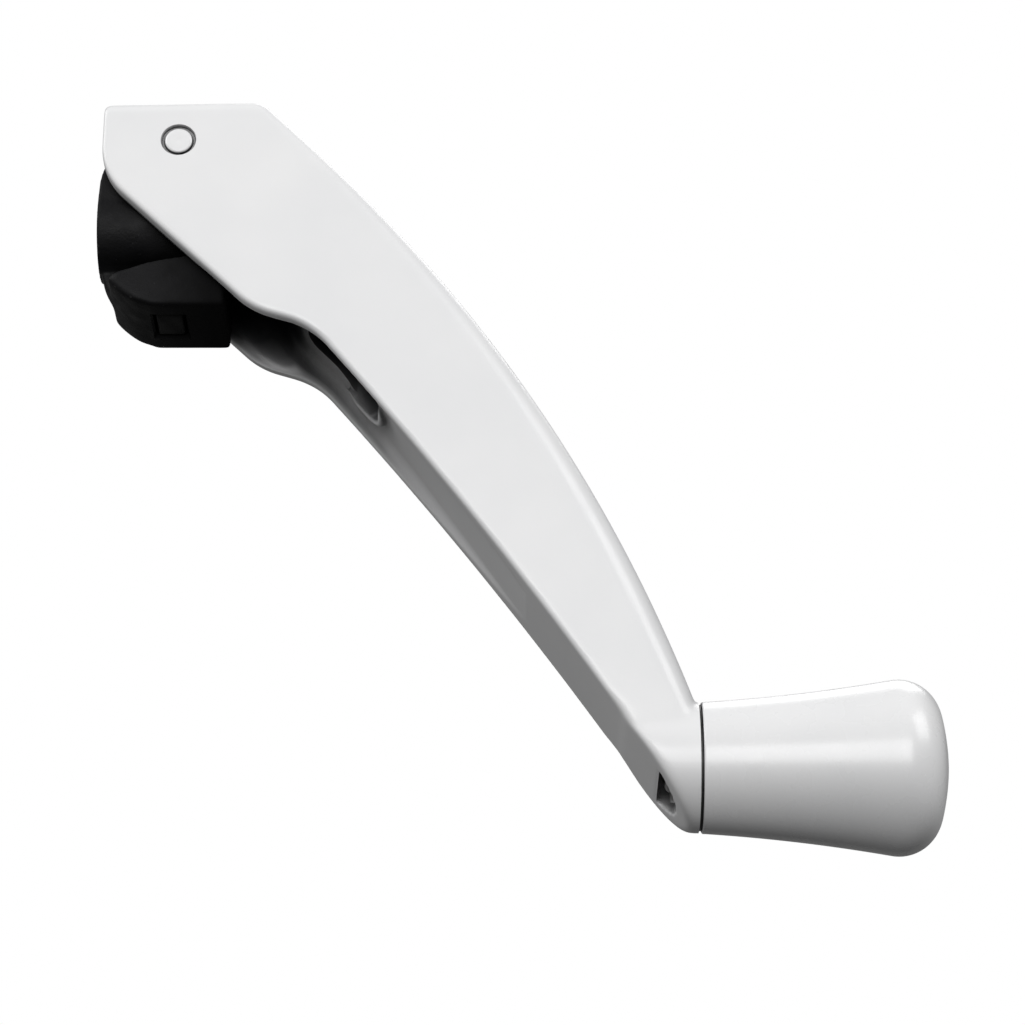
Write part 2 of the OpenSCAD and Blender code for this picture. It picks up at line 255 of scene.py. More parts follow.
def soften(ob, voxel, rounds):
    """Rebuild a boolean body as an even cast skin, and let its edges round off."""
    m = ob.modifiers.new("remesh", "REMESH")
    m.mode = "VOXEL"
    m.voxel_size = voxel * MM
    m.adaptivity = 0
    apply_modifiers(ob)
    smooth(ob, rounds)


def melt(ob, inside, rounds):
    """Blend the steps of one region together, leaving the rest of the body as it is."""
    group = ob.vertex_groups.new(name="melt")
    for v in ob.data.vertices:
        w = inside(*(c / MM for c in v.co))
        if w > 0:
            group.add([v.index], w, "REPLACE")
    smooth(ob, rounds, "melt")
    ob.vertex_groups.clear()


def shade(ob, angle):
    """Smooth shading, with a sharp edge where faces meet at more than the angle."""
    for p in ob.data.polygons:
        p.use_smooth = True
    ob.data.set_sharp_from_angle(angle=math.radians(angle))
    return ob


# ---------------------------------------------------------------- arm
def section(low, top):
    """Closed cross-section of the arm, from a point of its lower edge to one of its back."""
    span = math.dist(low, top)
    along = ((top[0] - low[0]) / span, (top[1] - low[1]) / span)
    back_r = min(BACK_R + BACK_R_GAIN * clamp((top[0] - BACK_R_FROM) / BACK_R_OVER), span / 2)
    edge_r = min(EDGE_R, span / 4)
    side = [(edge_r * (1 - math.cos(t)), edge_r * (1 - math.sin(t))) for t in quarter(4)]
    flat_from, flat_to, flat_steps = side[-1][0], span - back_r, 6
    side += [(flat_from + (flat_to - flat_from) * k / flat_steps, 0) for k in range(1, flat_steps)]
    side += [(span - back_r * (1 - math.sin(t)), back_r * (1 - math.cos(t))) for t in quarter(14)]
    near = []
    for s, inset in side:
        x, z = low[0] + along[0] * s, low[1] + along[1] * s
        near.append((x, inset - half_w(x), z))
    return near + [(x, -y, z) for x, y, z in reversed(near)]


def arm_loops():
    loops = []
    for (low0, back0, steps), (low1, back1, _) in zip(STATIONS, STATIONS[1:]):
        for k in range(steps):
            f = k / steps
            loops.append(section(lower_at(low0 + (low1 - low0) * f), back_at(back0 + (back1 - back0) * f)))
    low, top = lower_at(LOWER_END), back_at(BACK_END)
    loops.append(section(low, top))
    loops.append(section((BOSS_FACE - 0.5, low[1]), (top[0] + 0.02, top[1] - 0.1)))
    return loops


def hub_room():
    """Room between the cheeks that takes the hub in as the arm folds."""
    top = LUG_R + ROOM_GAP
    stop = HUB_RIGHT + ROOM_GAP
    sweep_r = math.hypot(HUB_RIGHT, PIN_Z + BLOCK_Z) + SWEEP_GAP
    reach = math.sqrt(sweep_r**2 - stop**2)
    start = math.atan2(stop - reach, stop + reach)
    lip = math.radians(-84)
    left, below = -6 - PIN_X, -BLOCK_Z - PAST
    pts = [(left, top), (stop * math.sqrt(2) - top, top)]
    for k in range(49):
        t = start + (lip - start) * k / 48
        pts.append((sweep_r * math.cos(t), sweep_r * math.sin(t)))
    pts += [(sweep_r * math.cos(lip), below), (left, below)]
    return prism("cut_room", [(x + PIN_X, z + PIN_Z) for x, z in pts], -CHEEK_GAP / 2, CHEEK_GAP / 2)


# depth of the channel's floor and thickness of its walls, by the distance along the lower edge
CHANNEL_D = [(50, 2.3), (54, 1.95), (62, 1.8), (70, 1.45), (80, 0.95), (90, 0.45), (98, 0.02)]
CHANNEL_T = [(30, 2.8), (38, 2.3), (46, 1.95), (52, 1.6), (58, 1.35), (98, 1.3)]
CHANNEL_FROM, CHANNEL_TO = 34, 98
CHANNEL_R = 3.0
# short of this distance the floor runs on straight, whatever the wave of the cheeks does
STRAIGHT_TO = 50
# towards the hub the floor sinks away from here on
SINK_FROM, SINK = 44, 0.07


def blend_table(table, x):
    """Straight-line reading of a table of (place, value), level past its ends."""
    if x <= table[0][0]:
        return table[0][1]
    for (x0, v0), (x1, v1) in zip(table, table[1:]):
        if x <= x1:
            f = (x - x0) / (x1 - x0)
            return v0 + (v1 - v0) * f
    return table[-1][1]


def underside_frame(d0, d1):
    """Point of the lower edge at d0, the way on to d1, and the way into the arm."""
    p, q = lower_at(d0), lower_at(d1)
    a = math.atan2(q[1] - p[1], q[0] - p[0])
    return p, (math.cos(a), math.sin(a)), (-math.sin(a), math.cos(a))


def floor_at(d):
    """Floor point of the channel, the way into the arm there, and half the channel's width."""
    base = max(d, STRAIGHT_TO)
    p, along, up = underside_frame(base, base + 0.5)
    depth = blend_table(CHANNEL_D, d) + SINK * max(0, SINK_FROM - d) ** 2
    back = min(0, d - STRAIGHT_TO)
    x = p[0] + up[0] * depth + along[0] * back
    z = p[1] + up[1] * depth + along[1] * back
    return (x, z), up, half_w(p[0]) - blend_table(CHANNEL_T, d)


def channel():
    """Open channel between the cheeks, its floor turned up to the walls in a large radius."""
    loops = []
    for i in range(97):
        (x, z), up, w = floor_at(CHANNEL_FROM + i * (CHANNEL_TO - CHANNEL_FROM) / 96)
        side = [(w, 14)]
        for t in reversed(quarter(12)):
            side.append((w - CHANNEL_R + CHANNEL_R * math.sin(t), CHANNEL_R * (1 - math.cos(t))))
        loop = [(-y, h) for y, h in side] + [(y, h) for y, h in reversed(side)]
        loops.append([(x - up[0] * h, y, z - up[1] * h) for y, h in loop])
    return skin("cut_channel", loops)


SLOT_FROM, SLOT_TO, SLOT_R, SLOT_DEEP = 44.2, 61.4, 2.3, 9.0
LIP_OUT, LIP_PROUD, LIP_R = 0.6, 0.5, 0.7


def slot_line():
    """Start of the slot on the channel's floor, its length, the way along it, the way into the arm."""
    start, end = floor_at(SLOT_FROM)[0], floor_at(SLOT_TO)[0]
    length = math.dist(start, end)
    along = ((end[0] - start[0]) / length, (end[1] - start[1]) / length)
    return start, length, along, (-along[1], along[0])


def slot_point(line, s, y, h):
    """Point s along the slot, y across it and h into the arm."""
    (x, z), _, along, up = line
    return (x + along[0] * s + up[0] * h, y, z + along[1] * s + up[1] * h)


def slot():
    """Deep slot with round ends in the channel's floor."""
    line = slot_line()
    outline = []
    for centre, start in ((SLOT_R, 90), (line[1] - SLOT_R, -90)):
        for k in range(25):
            t = math.radians(start + 180 * k / 24)
            outline.append((centre + SLOT_R * math.cos(t), SLOT_R * math.sin(t)))
    return skin("cut_slot", [[slot_point(line, s, y, h) for s, y in outline] for h in (-4.0, SLOT_DEEP)])


def slot_lip():
    """Rolled lip that stands a little proud of the floor round the knob end of the slot."""
    line = slot_line()
    r = SLOT_R + LIP_OUT
    end = line[1] - SLOT_R
    path = [(end - 7 + k, r) for k in range(7)]
    for k in range(15):
        t = math.radians(90 - 10 * k)
        path.append((end + r * math.cos(t), r * math.sin(t)))
    last = len(path) - 1
    loops = []
    for i, (s, y) in enumerate(path):
        a, b = path[max(0, i - 1)], path[min(last, i + 1)]
        heading = math.atan2(b[1] - a[1], b[0] - a[0])
        # the lip grows from a thin start and thins out again at its other end
        thick = LIP_R * min(1, 0.25 + i * 0.15, 0.25 + (last - i) * 0.2)
        loop = []
        for k in range(12):
            t = 2 * math.pi * k / 12
            out = thick * math.cos(t)
            across = (s - math.sin(heading) * out, y + math.cos(heading) * out)
            loop.append(slot_point(line, *across, thick * math.sin(t) - LIP_PROUD))
        loops.append(loop)
    return skin("lip", loops)


RECESS_FLOOR, RECESS_BACK = BOSS_FACE - 3, BOSS_FACE - 5.6
RECESS_R = 6.3
PIN_BORE_R = PIN_R + 0.07
ARM_VOXEL, HUB_VOXEL = 0.24, 0.2


def near_room_end(x, y, z):
    """Weight round the end of the room for the hub, where it runs out into the channel."""
    return clamp((8.4 - abs(y)) / 0.6) * clamp((x - 15) / 3) * clamp((38 - x) / 6) * (z < -4)


def near_boss_foot(x, y, z):
    """Weight round the sloping foot of the boss, whose edge is well rounded."""
    return clamp((x - 71) / 4) * clamp((86.2 - x) / 1.5) * clamp((-76 - z) / 3)


def make_boss():
    """Round boss that carries the knob, trimmed to the slope of the underside."""
    boss = bar("boss", "X", KNOB_CENTRE, BOSS_R, 76, BOSS_FACE + 1, segments=160)
    start, along, _ = underside_frame(110, LOWER_END)
    end = lower_at(LOWER_END)
    far = (end[0] + along[0] * 14, end[1] + along[1] * 14)
    keep = [start, far, (far[0] + 30, far[1]), (start[0] + 30, start[1])]
    boolean(boss, prism("keep", keep, -PAST, PAST), "INTERSECT")
    return boss


def pin_seat(side):
    """Countersunk ring round the end of the pin in one cheek."""
    y = side * ARM_W / 2
    steps = [(-0.3, 0), (-0.3, 2.62), (0, 2.62), (0.18, 2.56), (0.75, 2.5), (0.75, 0)]
    return lathe("cut_ring", [(y - side * deep, r) for deep, r in steps], 96, "Y", PIN_CENTRE)


def make_arm():
    arm = skin("arm_skin", arm_loops())
    boolean(arm, make_boss(), "UNION")
    boolean(arm, hub_room())
    boolean(arm, channel())
    boolean(arm, slot_lip(), "UNION")
    soften(arm, ARM_VOXEL, 4)
    melt(arm, near_boss_foot, 90)
    boolean(arm, bar("cut_recess", "X", KNOB_CENTRE, RECESS_R, RECESS_BACK, RECESS_FLOOR))
    soften(arm, ARM_VOXEL, 4)
    melt(arm, near_room_end, 260)
    # the slot, the holes and the face that meets the seam washer stay crisp
    boolean(arm, slot())
    boolean(arm, box_mesh("cut_face", (BOSS_FACE, -PAST, KNOB_Z - PAST), (BOSS_FACE + 5, PAST, KNOB_Z + 14)))
    boolean(arm, bar("cut_stud", "X", KNOB_CENTRE, STUD_R, RECESS_FLOOR - 2, BOSS_FACE + 2))
    boolean(arm, bar("cut_pin", "Y", PIN_CENTRE, PIN_BORE_R, -PAST, PAST))
    for side in (-1, 1):
        boolean(arm, pin_seat(side))
    return shade(arm, 40)


# ---------------------------------------------------------------- hub
# the rounded nose of the block, seen from the side, from under the barrel to the flat underside
NOSE = [(0.3, -6), (0.7, -8.6), (1.3, -10.2), (2.1, -11.4), (3.3, -12.6), (4.7, -13.8), (5.9, -14.5)]
NOSE += [(7.8, -BLOCK_Z)]
SHOULDER = [(HUB_LEN, -6), (13.9, -7.2), (10.3, -7.8), (6.7, -8.6), (3.8, -9.4), (2.4, -10.1), (1.2, -11.4)]
NECK_FRONT = [(0.05, 0), (0.05, 4.5), (0.3, 6.4), (0.9, 8.3), (2.6, 11.4), (4.4, 13.5), (6.4, PIN_Z + LUG_R)]
NOSE_X, NOSE_R, FOOT_R = 0.3, 2.0, 0.5
# smoothing draws the block's foot in by this much
FOOT_SPARE = 0.3
BARREL_R, BARREL_END_R = 7.2, 6.9
WEB_HALF = 1.8
SOCKET_BORE_R, SOCKET_BORE_LEN, BUSH_BORE_R = 5.82, 15, 3.0


def smooth_corner(points):
    """Two rounds of corner cutting on an open run of points, with the ends kept."""
    for _ in range(2):
        out = [points[0]]
        for a, b in zip(points, points[1:]):
            out.append((a[0] * 0.75 + b[0] * 0.25, a[1] * 0.75 + b[1] * 0.25))
            out.append((a[0] * 0.25 + b[0] * 0.75, a[1] * 0.25 + b[1] * 0.75))
        out.append(points[-1])
        points = out
    return points


def make_neck():
    """Neck between the cheeks, with the lug round the pin."""
    lug = []
    for k in range(17):
        t = math.radians(90 - 45 * k / 16)
        lug.append((PIN_X + LUG_R * math.cos(t), PIN_Z + LUG_R * math.sin(t)))
    chamfer_z = LUG_R * math.sqrt(2) - HUB_RIGHT
    outline = smooth_corner(NECK_FRONT) + lug + [(HUB_LEN, PIN_Z + chamfer_z), (HUB_LEN, 0)]
    return prism("neck", outline, -HUB_W / 2, HUB_W / 2)


def make_block():
    """Block under the barrel: its side outline, rounded in plan and at the foot, under a sloping shoulder."""
    foot_z = -BLOCK_Z - FOOT_SPARE
    half = BLOCK_W / 2
    side = [(HUB_LEN, foot_z), (NOSE[-1][0] + 0.5, foot_z)] + smooth_corner(NOSE[::-1])
    side += [(NOSE_X, -4), (HUB_LEN, -4)]
    block = prism("block", side, -half, half)

    corner = [(NOSE_X + NOSE_R * (1 - math.sin(t)), half - NOSE_R * (1 - math.cos(t))) for t in quarter(12)]
    plan = [(HUB_LEN, -half)] + [(x, -y) for x, y in corner] + corner[::-1] + [(HUB_LEN, half)]
    boolean(block, prism("plan", plan, -20, 0, "Z"), "INTERSECT")

    foot = [(half - FOOT_R * (1 - math.sin(t)), foot_z + FOOT_R * (1 - math.cos(t))) for t in quarter(8)]
    front = [(-half, 0)] + [(-y, z) for y, z in reversed(foot)] + foot + [(half, 0)]
    boolean(block, prism("foot", front, -2, 30, "X"), "INTERSECT")

    right = HUB_LEN + 3
    over = prism("over", SHOULDER + [(-3, -12), (-3, 2), (right, 2), (right, -6)], -PAST, PAST)
    boolean(over, bar("core", "X", (0, 0, -3.4), 4.2, -4, 40))
    boolean(block, over)
    return block


def plug_window():
    """Opening round the plug, with a chamfered mouth."""
    loops = []
    for h, gap in ((-1, 0.7), (0.02, 0.7), (0.32, 0.4), (2.2, 0.4)):
        x0, x1 = PLUG_LO[0] - gap, PLUG_HI[0] + gap
        y0, y1 = PLUG_LO[1] - gap, PLUG_HI[1] + gap
        loops.append([(x, y, h - BLOCK_Z) for x, y in ((x0, y0), (x1, y0), (x1, y1), (x0, y1))])
    return skin("cut_window", loops)


def near_block(x, y, z):
    return clamp((-9.4 - z) / 1.2)


def near_nose(x, y, z):
    return clamp((-7.6 - z) / 1.5) * clamp((8 - x) / 3)


def make_hub():
    hub = bar("hub_skin", "X", (0, 0, 0), BARREL_R, 0, HUB_LEN, BARREL_END_R, segments=160)
    web = [(0.4, -3)] + NOSE[:4] + [(3.8, -12.6), (HUB_LEN, -13), (HUB_LEN, -3)]
    for part in (make_neck(), make_block(), prism("web", web, -WEB_HALF, WEB_HALF)):
        boolean(hub, part, "UNION")
    soften(hub, HUB_VOXEL, 12)
    melt(hub, near_block, 40)
    melt(hub, near_nose, 110)
    boolean(hub, bar("cut_socket", "X", (0, 0, 0), SOCKET_BORE_R, -1, SOCKET_BORE_LEN))
    boolean(hub, bar("cut_bush", "Y", PIN_CENTRE, BUSH_BORE_R, -9, 9))
    boolean(hub, plug_window())
    return shade(hub, 40)


PLUG_FOOT, PLUG_SET_BACK = 2.1, 0.03


def make_plug():
    """Rectangular plug with a chamfered foot and a narrower stem."""
    (x0, y0, z0), (x1, y1, z1) = PLUG_LO, PLUG_HI
    plug = box_mesh("plug_skin", (x0, y0, z0 + PLUG_SET_BACK), (x1, y1, z0 + PLUG_FOOT))
    stem = box_mesh("stem", (x0 + 1, y0 + 1, z0 + PLUG_FOOT - 0.1), (x1 - 1, y1 - 1, z1))
    boolean(plug, stem, "UNION")
    bevel = plug.modifiers.new("bevel", "BEVEL")
    bevel.width = 0.45 * MM
    bevel.segments = 3
    bevel.limit_method = "ANGLE"
    apply_modifiers(plug)
    return shade(plug, 50)


# ---------------------------------------------------------------- knob and its stud
(KNOB_BASE, _, _), (KNOB_END, _, _) = box_mm("knob_shell")
KNOB_LEN = KNOB_END - KNOB_BASE
BASE_R, BASE_EDGE_R = 9.1, 0.3
SKIN_FROM = 0.5
KNOB_FLARE = 3.6
KNOB_RUNS = [(26.3, 6, 26), (8.9, -85, 40), (5.8, -9, 10)]
KNOB_HOLE_R, KNOB_HOLE_LEN = 5.6, 23


def knob_profile():
    """(Distance from the base, radius) points: rounded base edge, flare, rounded end."""
    p, h = (SKIN_FROM, BASE_R), math.radians(KNOB_FLARE)
    pts = []
    for run, turn, steps in KNOB_RUNS:
        pts += [arc_point(p, h, run, turn, k / steps) for k in range(steps)]
        p = arc_point(p, h, run, turn, 1)
        h += math.radians(turn)
    stretch = (KNOB_LEN - SKIN_FROM) / (p[0] - SKIN_FROM)
    base = [(0, KNOB_HOLE_R), (0, BASE_R - BASE_EDGE_R)]
    for degrees in (20, 40, 60, 80):
        t = math.radians(degrees)
        base.append((BASE_EDGE_R * (1 - math.cos(t)), BASE_R - BASE_EDGE_R * (1 - math.sin(t))))
    outer = [(SKIN_FROM + (x - SKIN_FROM) * stretch, r) for x, r in pts]
    return base + outer + [(KNOB_LEN, p[1] * 0.5), (KNOB_LEN, 0)]


def make_knob():
    hole = [(KNOB_HOLE_LEN, 0), (KNOB_HOLE_LEN, KNOB_HOLE_R)]
    profile = [(KNOB_BASE + d, r) for d, r in hole + knob_profile()]
    return shade(lathe("knob_skin", profile, 192, "X", KNOB_CENTRE), 50)


def make_pin():
    """Riveted pin: a flat face with a rolled rim and a small centre dimple at each end."""
    (_, y0, _), (_, y1, _) = box_mm("pivot_pin")
    half = (y1 - y0) / 2
    end = [(0.05, 0), (0.04, 0.25), (0.0, 0.5), (0.02, 1.1), (0.0, PIN_R - 0.42), (0.03, PIN_R - 0.28)]
    end += [(0.1, PIN_R - 0.14), (0.22, PIN_R - 0.04), (0.4, PIN_R)]
    profile = [(d - half, r) for d, r in end] + [(half - d, r) for d, r in reversed(end)]
    return shade(lathe("pin_skin", profile, 96, "Y", PIN_CENTRE), 60)


def make_stud():
    """Shouldered stud whose tail is peened into a low dome behind the boss."""
    (x0, _, _), (x1, _, _) = box_mm("knob_stud")
    tail = [(0.32, 0), (0.3, 0.5), (0.08, 0.9), (0, 1.3), (0.1, 2.0), (0.34, 2.7), (0.62, 3.15), (0.9, 3.36)]
    tail += [(1.1, 3.38), (1.2, 3.3), (1.2, STUD_R)]
    head = [(1.8, STUD_R), (1.8, 4.1), (1.7, 4.2), (0.2, 4.2), (0, 4.0), (0, 0)]
    profile = [(x0 + d, r) for d, r in tail] + [(x1 - d, r) for d, r in head]
    return shade(lathe("stud_skin", profile, 96, "X", KNOB_CENTRE), 40)


# ---------------------------------------------------------------- materials
class Nodes:
    """Small helper that builds one procedural material in object space."""

    def __init__(self, name):
        self.mat = bpy.data.materials.new(name)
        self.mat.use_nodes = True
        self.tree = self.mat.node_tree
        self.bsdf = next(n for n in self.tree.nodes if n.type == "BSDF_PRINCIPLED")
        self.coord = self.tree.nodes.new("ShaderNodeTexCoord").outputs["Object"]

    def noise(self, scale, detail=2.0, rough=0.5, stretch=None):
        n = self.tree.nodes.new("ShaderNodeTexNoise")
        n.inputs["Scale"].default_value = scale
        n.inputs["Detail"].default_value = detail
        n.inputs["Roughness"].default_value = rough
        vec = self.coord
        if stretch:
            m = self.tree.nodes.new("ShaderNodeMapping")
            m.inputs["Scale"].default_value = stretch
            self.tree.links.new(vec, m.inputs["Vector"])
            vec = m.outputs["Vector"]
        self.tree.links.new(vec, n.inputs["Vector"])
        return n.outputs["Fac"]

    def ramp(self, fac, stops):
        r = self.tree.nodes.new("ShaderNodeValToRGB")
        r.color_ramp.interpolation = "LINEAR"
        while len(r.color_ramp.elements) < len(stops):
            r.color_ramp.elements.new(0.5)
        for e, (pos, col) in zip(r.color_ramp.elements, stops):
            e.position = pos
            e.color = (*col, 1) if isinstance(col, tuple) else (col, col, col, 1)
        self.tree.links.new(fac, r.inputs["Fac"])
        return r.outputs["Color"]

    def mix(self, fac, a, b, blend="MIX"):
        m = self.tree.nodes.new("ShaderNodeMix")
        m.data_type = "RGBA"
        m.blend_type = blend
        for src, sock in ((fac, m.inputs["Factor"]), (a, m.inputs["A"]), (b, m.inputs["B"])):
            socket = next(i for i in m.inputs if i.name == sock.name and i.enabled)
            if hasattr(src, "links"):
                self.tree.links.new(src, socket)
            elif isinstance(src, (int, float)):
                socket.default_value = src if socket.type == "VALUE" else (src, src, src, 1)
            else:
                socket.default_value = (*src, 1)
        return next(o for o in m.outputs if o.enabled)

    def bump(self, height, strength, distance, below=None):
        b = self.tree.nodes.new("ShaderNodeBump")
        b.inputs["Strength"].default_value = strength
        b.inputs["Distance"].default_value = distance
        self.tree.links.new(height, b.inputs["Height"])
        if below:
            self.tree.links.new(below, b.inputs["Normal"])
        return b.outputs["Normal"]

    def edge(self, lo, hi):
        g = self.tree.nodes.new("ShaderNodeNewGeometry")
        return self.ramp(g.outputs["Pointiness"], [(lo, 0.0), (hi, 1.0)])

    def occlusion_shade(self, distance, lo, hi):
        """Ambient occlusion mask for painted shade: 0 deep in a pocket, 1 on open skin."""
        ao = self.tree.nodes.new("ShaderNodeAmbientOcclusion")
        ao.samples = 12
        ao.inputs["Distance"].default_value = distance
        return self.ramp(ao.outputs["AO"], [(lo, 0.0), (hi, 1.0)])

    def along(self, axis, stops):
        """Ramp along one object axis, in mm from the origin; Y counts the same on both sides."""
        xyz = self.tree.nodes.new("ShaderNodeSeparateXYZ")
        self.tree.links.new(self.coord, xyz.inputs[0])
        size = self.tree.nodes.new("ShaderNodeMath")
        size.operation = "ABSOLUTE"
        self.tree.links.new(xyz.outputs[axis], size.inputs[0])
        reach = self.tree.nodes.new("ShaderNodeMath")
        reach.operation = "MULTIPLY"
        reach.inputs[1].default_value = 10.0
        self.tree.links.new(size.outputs[0], reach.inputs[0])
        return self.ramp(reach.outputs[0], [(mm / 100, v) for mm, v in stops])

    def link(self, out, name):
        self.tree.links.new(out, self.bsdf.inputs[name])

    def set(self, **values):
        for k, v in values.items():
            self.bsdf.inputs[k.replace("_", " ")].default_value = v
        return self.mat


# colours of painted shade
SHADE = (0.02, 0.02, 0.022)
SHADE_BLACK = (0.0006, 0.0006, 0.0007)


def white_coat(name, rough, coat, peel, pocket_shade=False):
    """White finish: faint tone drift, faint orange peel, and painted shade that darkens tight gaps."""
    m = Nodes(name)
    tone = m.ramp(m.noise(55, 3), [(0.3, (0.805, 0.808, 0.815)), (0.7, (0.84, 0.84, 0.843))])
    if pocket_shade:
        # painted shade: darker between the cheeks, most of all towards the hub; the cheeks' outer sides stay
        # as they are
        open_skin = tone
        wide = m.mix(m.occlusion_shade(0.035, 0.7, 1.0), SHADE, open_skin)
        inner = m.mix(m.along("X", [(34, 1.0), (54, 0.3)]), open_skin, wide)
        tight = m.mix(m.occlusion_shade(0.006, 0.72, 0.9), SHADE, inner)
        inner = m.mix(m.along("X", [(41.6, 1.0), (43, 0.0)]), inner, tight)
        tone = m.mix(m.along("Y", [(8.1, 1.0), (8.5, 0.0)]), open_skin, inner)
    # painted shade: the white darkens in tight gaps, such as the ring round the pin
    m.link(m.mix(m.occlusion_shade(0.002, 0.3, 0.75), SHADE, tone), "Base Color")
    m.link(m.ramp(m.noise(240, 3), [(0.25, rough - 0.05), (0.75, rough + 0.05)]), "Roughness")
    fine = m.bump(m.noise(2600, 2), 0.12, 0.00004)
    m.link(m.bump(m.noise(620, 1.5), peel, 0.00006, fine), "Normal")
    return m.set(IOR=1.5, Coat_Weight=coat, Coat_Roughness=0.22)


def black_texture(name, edge_highlight=0.018):
    """Black moulding: fine pebbled grain, pale specks, edges lightened as a painted highlight, painted shade
    in gaps, and darker (painted shade) and duller along X.
    """
    m = Nodes(name)
    base = m.ramp(m.noise(160, 4, 0.6), [(0.3, (0.003, 0.003, 0.0034)), (0.75, (0.0085, 0.0085, 0.0095))])
    specks = m.ramp(m.noise(1500, 3, 0.7), [(0.66, 0.0), (0.74, 1.0)])
    base = m.mix(specks, base, (0.03, 0.03, 0.032))
    # lighter edges: a painted highlight
    base = m.mix(m.edge(0.53, 0.6), base, (edge_highlight, edge_highlight, edge_highlight))
    # painted shade deep in gaps
    base = m.mix(m.occlusion_shade(0.007, 0.3, 0.72), SHADE_BLACK, base)
    # painted shade: darker along X towards the end between the cheeks; the roughness rises with it
    mouth = m.along("X", [(6, 1.0), (17, 0.12)])
    m.link(m.mix(mouth, SHADE_BLACK, base), "Base Color")
    m.link(m.mix(mouth, 0.95, m.ramp(m.noise(420, 3), [(0.3, 0.44), (0.7, 0.62)])), "Roughness")
    fine = m.bump(m.noise(2400, 3, 0.6), 0.55, 0.00008)
    m.link(m.bump(m.noise(900, 2), 0.35, 0.00012, fine), "Normal")
    return m.set(IOR=1.5, Specular_IOR_Level=0.15)


def steel(name, tone, rough, stretch):
    """Machined steel: tool lines along one direction and slight tarnish."""
    m = Nodes(name)
    lines = m.noise(700, 2, 0.6, stretch)
    bright = m.ramp(lines, [(0.2, tone * 0.85), (0.8, tone)])
    tarnish = m.ramp(m.noise(170, 4, 0.6), [(0.4, 0.0), (0.8, 0.5)])
    m.link(m.mix(tarnish, bright, (tone * 0.62, tone * 0.58, tone * 0.52)), "Base Color")
    m.link(m.ramp(lines, [(0.2, rough - 0.08), (0.8, rough + 0.1)]), "Roughness")
    m.link(m.bump(lines, 0.3, 0.00003), "Normal")
    return m.set(Metallic=1.0)


def moulded(name, dark, light, rough):
    """Plain moulded plastic for the seam washer and the sleeve."""
    m = Nodes(name)
    m.link(m.ramp(m.noise(300, 3), [(0.3, dark), (0.7, light)]), "Base Color")
    m.link(m.ramp(m.noise(700, 2), [(0.3, rough - 0.06), (0.7, rough + 0.06)]), "Roughness")
    m.link(m.bump(m.noise(1800, 2), 0.2, 0.00005), "Normal")
    return m.mat


def dress(ob, mat):
    ob.data.materials.clear()
    ob.data.materials.append(mat)
    return ob


def dress_node(name, mat):
    for holder in nodes[name].material_slots:
        holder.material = mat


arm = dress(make_arm(), white_coat("white_paint", 0.36, 0.25, 0.1, pocket_shade=True))
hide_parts("arm_casting")
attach(arm, "arm")

hub = dress(make_hub(), black_texture("black_grain"))
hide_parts("hub_body")
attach(hub, "hub")

plug = dress(make_plug(), black_texture("black_plug", 0.035))
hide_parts("retainer_plug")
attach(plug, "hub")

knob = dress(make_knob(), white_coat("white_knob", 0.28, 0.35, 0.05))
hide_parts("knob_shell")
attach(knob, "knob")

pin = dress(make_pin(), white_coat("white_pin", 0.3, 0.3, 0.05))
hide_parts("pivot_pin")
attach(pin, "arm")

stud = dress(make_stud(), steel("stud_metal", 0.55, 0.34, (0.3, 1, 1)))
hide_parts("knob_stud")
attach(stud, "arm")

dress_node("shaft_socket", steel("socket_metal", 0.5, 0.36, (0.15, 1, 1)))
washer_metal = steel("washer_metal", 0.6, 0.32, (1, 1, 1))
for name in ("pivot_bush", "friction_washers", "stud_washer", "thrust_washer"):
    dress_node(name, washer_metal)
dress_node("seam_washer", moulded("seam_plastic", 0.02, 0.035, 0.5))
dress_node("knob_sleeve", moulded("sleeve_plastic", (0.62, 0.58, 0.48), (0.7, 0.66, 0.56), 0.45))


# ---------------------------------------------------------------- camera, light and stage
SENSOR = 36
FOCAL_PER_FRAME = 3500 / 1025
CAMERA_AIM = (0.060874, 0, -0.045250)
CAMERA_AWAY = 0.5
CAMERA_UP = math.radians(25)
LAMP_AIM = (0.055, 0, -0.04)
# name, direction from the object, distance, size, power
LAMPS = [
    ("key_left", (-0.70, -0.42, 0.58), 0.9, (0.5, 0.5), 3.2),
    ("key_right", (0.70, -0.48, 0.52), 0.9, (0.5, 0.5), 2.9),
    ("front", (0.0, -1.0, 0.0), 1.0, (0.8, 0.5), 5.6),
    ("top_back", (0.2, 0.5, 0.85), 0.9, (0.5, 0.5), 1.7),
]
FLOOR_HALF, FLOOR_Z = 25, -0.62
CARD_X0, CARD_X1, CARD_HALF, CARD_Z = -0.5, 0.6, 0.5, -0.25

scene = bpy.context.scene
cam_data = bpy.data.cameras.new("camera")
cam = bpy.data.objects.new("camera", cam_data)
scene.collection.objects.link(cam)
scene.camera = cam
cam_data.sensor_width = SENSOR
cam_data.lens = FOCAL_PER_FRAME * SENSOR
cam_data.clip_start = 0.01
cam_data.clip_end = 80
cam.location = Vector(CAMERA_AIM) - CAMERA_AWAY * Vector((0, math.cos(CAMERA_UP), math.sin(CAMERA_UP)))
cam.rotation_euler = (math.pi / 2 + CAMERA_UP, 0, 0)


def lamp(name, direction, distance, size, power):
    """Soft rectangular lamp that faces the object."""
    data = bpy.data.lights.new(name, "AREA")
    data.shape = "RECTANGLE"
    data.size, data.size_y = size
    data.energy = power
    ob = bpy.data.objects.new(name, data)
    scene.collection.objects.link(ob)
    away = Vector(direction).normalized() * distance
    ob.location = Vector(LAMP_AIM) + away
    ob.rotation_euler = (-away).to_track_quat("-Z", "Y").to_euler()


for row in LAMPS:
    lamp(*row)


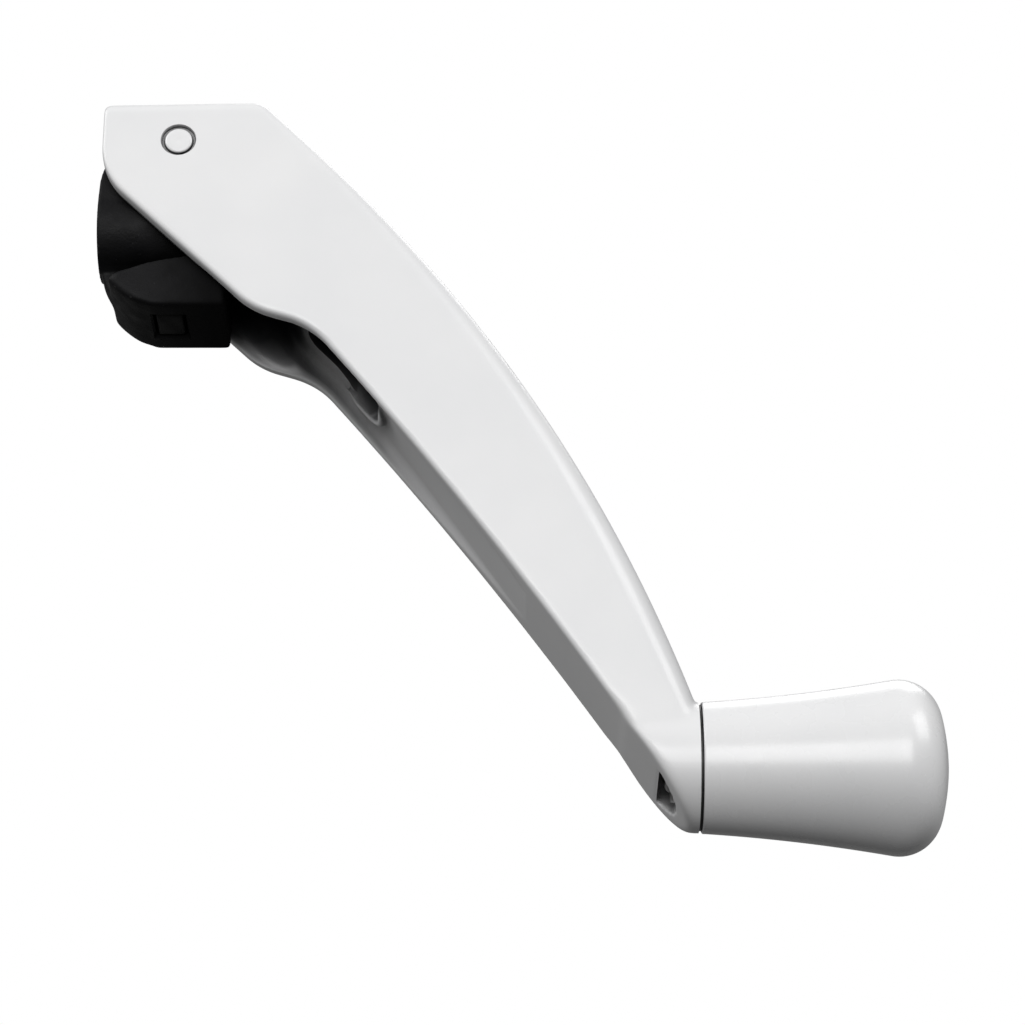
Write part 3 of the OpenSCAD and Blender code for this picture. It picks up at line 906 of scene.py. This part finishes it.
def sheet(name, x0, x1, half, z):
    """Flat rectangle of the stage."""
    ob = bpy.data.objects.new(name, bpy.data.meshes.new(name))
    ob.data.from_pydata([(x0, -half, 0), (x1, -half, 0), (x1, half, 0), (x0, half, 0)], [], [[0, 1, 2, 3]])
    ob.location.z = z
    scene.collection.objects.link(ob)
    return ob


def plain(name, tone, rough):
    """Even grey material of the stage."""
    mat = bpy.data.materials.new(name)
    mat.use_nodes = True
    board = mat.node_tree.nodes["Principled BSDF"]
    board.inputs["Base Color"].default_value = (tone, tone, tone, 1)
    board.inputs["Roughness"].default_value = rough
    return mat


def seen_apart(tree, shader, seen):
    """Shader that looks like another one to camera rays."""
    ray = tree.nodes.new("ShaderNodeLightPath")
    pick = tree.nodes.new("ShaderNodeMixShader")
    tree.links.new(ray.outputs["Is Camera Ray"], pick.inputs["Fac"])
    tree.links.new(shader.outputs[0], pick.inputs[1])
    tree.links.new(seen.outputs[0], pick.inputs[2])
    return pick.outputs[0]


# plain pale floor, which shows in the other views but not in the photo's
floor = sheet("floor", -FLOOR_HALF, FLOOR_HALF, FLOOR_HALF, FLOOR_Z)
pale = plain("pale", 0.8, 0.9)
tree = pale.node_tree
board = tree.nodes["Principled BSDF"]
glow = tree.nodes.new("ShaderNodeEmission")
glow.inputs["Strength"].default_value = 0.35
lit = tree.nodes.new("ShaderNodeAddShader")
tree.links.new(board.outputs[0], lit.inputs[0])
tree.links.new(glow.outputs[0], lit.inputs[1])
surface = next(n for n in tree.nodes if n.type == "OUTPUT_MATERIAL").inputs["Surface"]
tree.links.new(seen_apart(tree, board, lit), surface)
floor.data.materials.append(pale)

# dark card under the object, unseen, that keeps the light of the floor off the underside
card = sheet("card", CARD_X0, CARD_X1, CARD_HALF, CARD_Z)
card.visible_camera = False
card.visible_shadow = False
card.data.materials.append(plain("felt", 0.07, 1))

# dim white surroundings that the camera sees as plain white
world = bpy.data.worlds.new("world")
scene.world = world
world.use_nodes = True
tree = world.node_tree
tree.nodes.clear()
soft, paper = (tree.nodes.new("ShaderNodeBackground") for _ in range(2))
for background, strength in ((soft, 0.2), (paper, 1.0)):
    background.inputs["Color"].default_value = (1, 1, 1, 1)
    background.inputs["Strength"].default_value = strength
out = tree.nodes.new("ShaderNodeOutputWorld")
tree.links.new(seen_apart(tree, soft, paper), out.inputs["Surface"])

scene.view_settings.view_transform = "Standard"
scene.view_settings.look = "None"
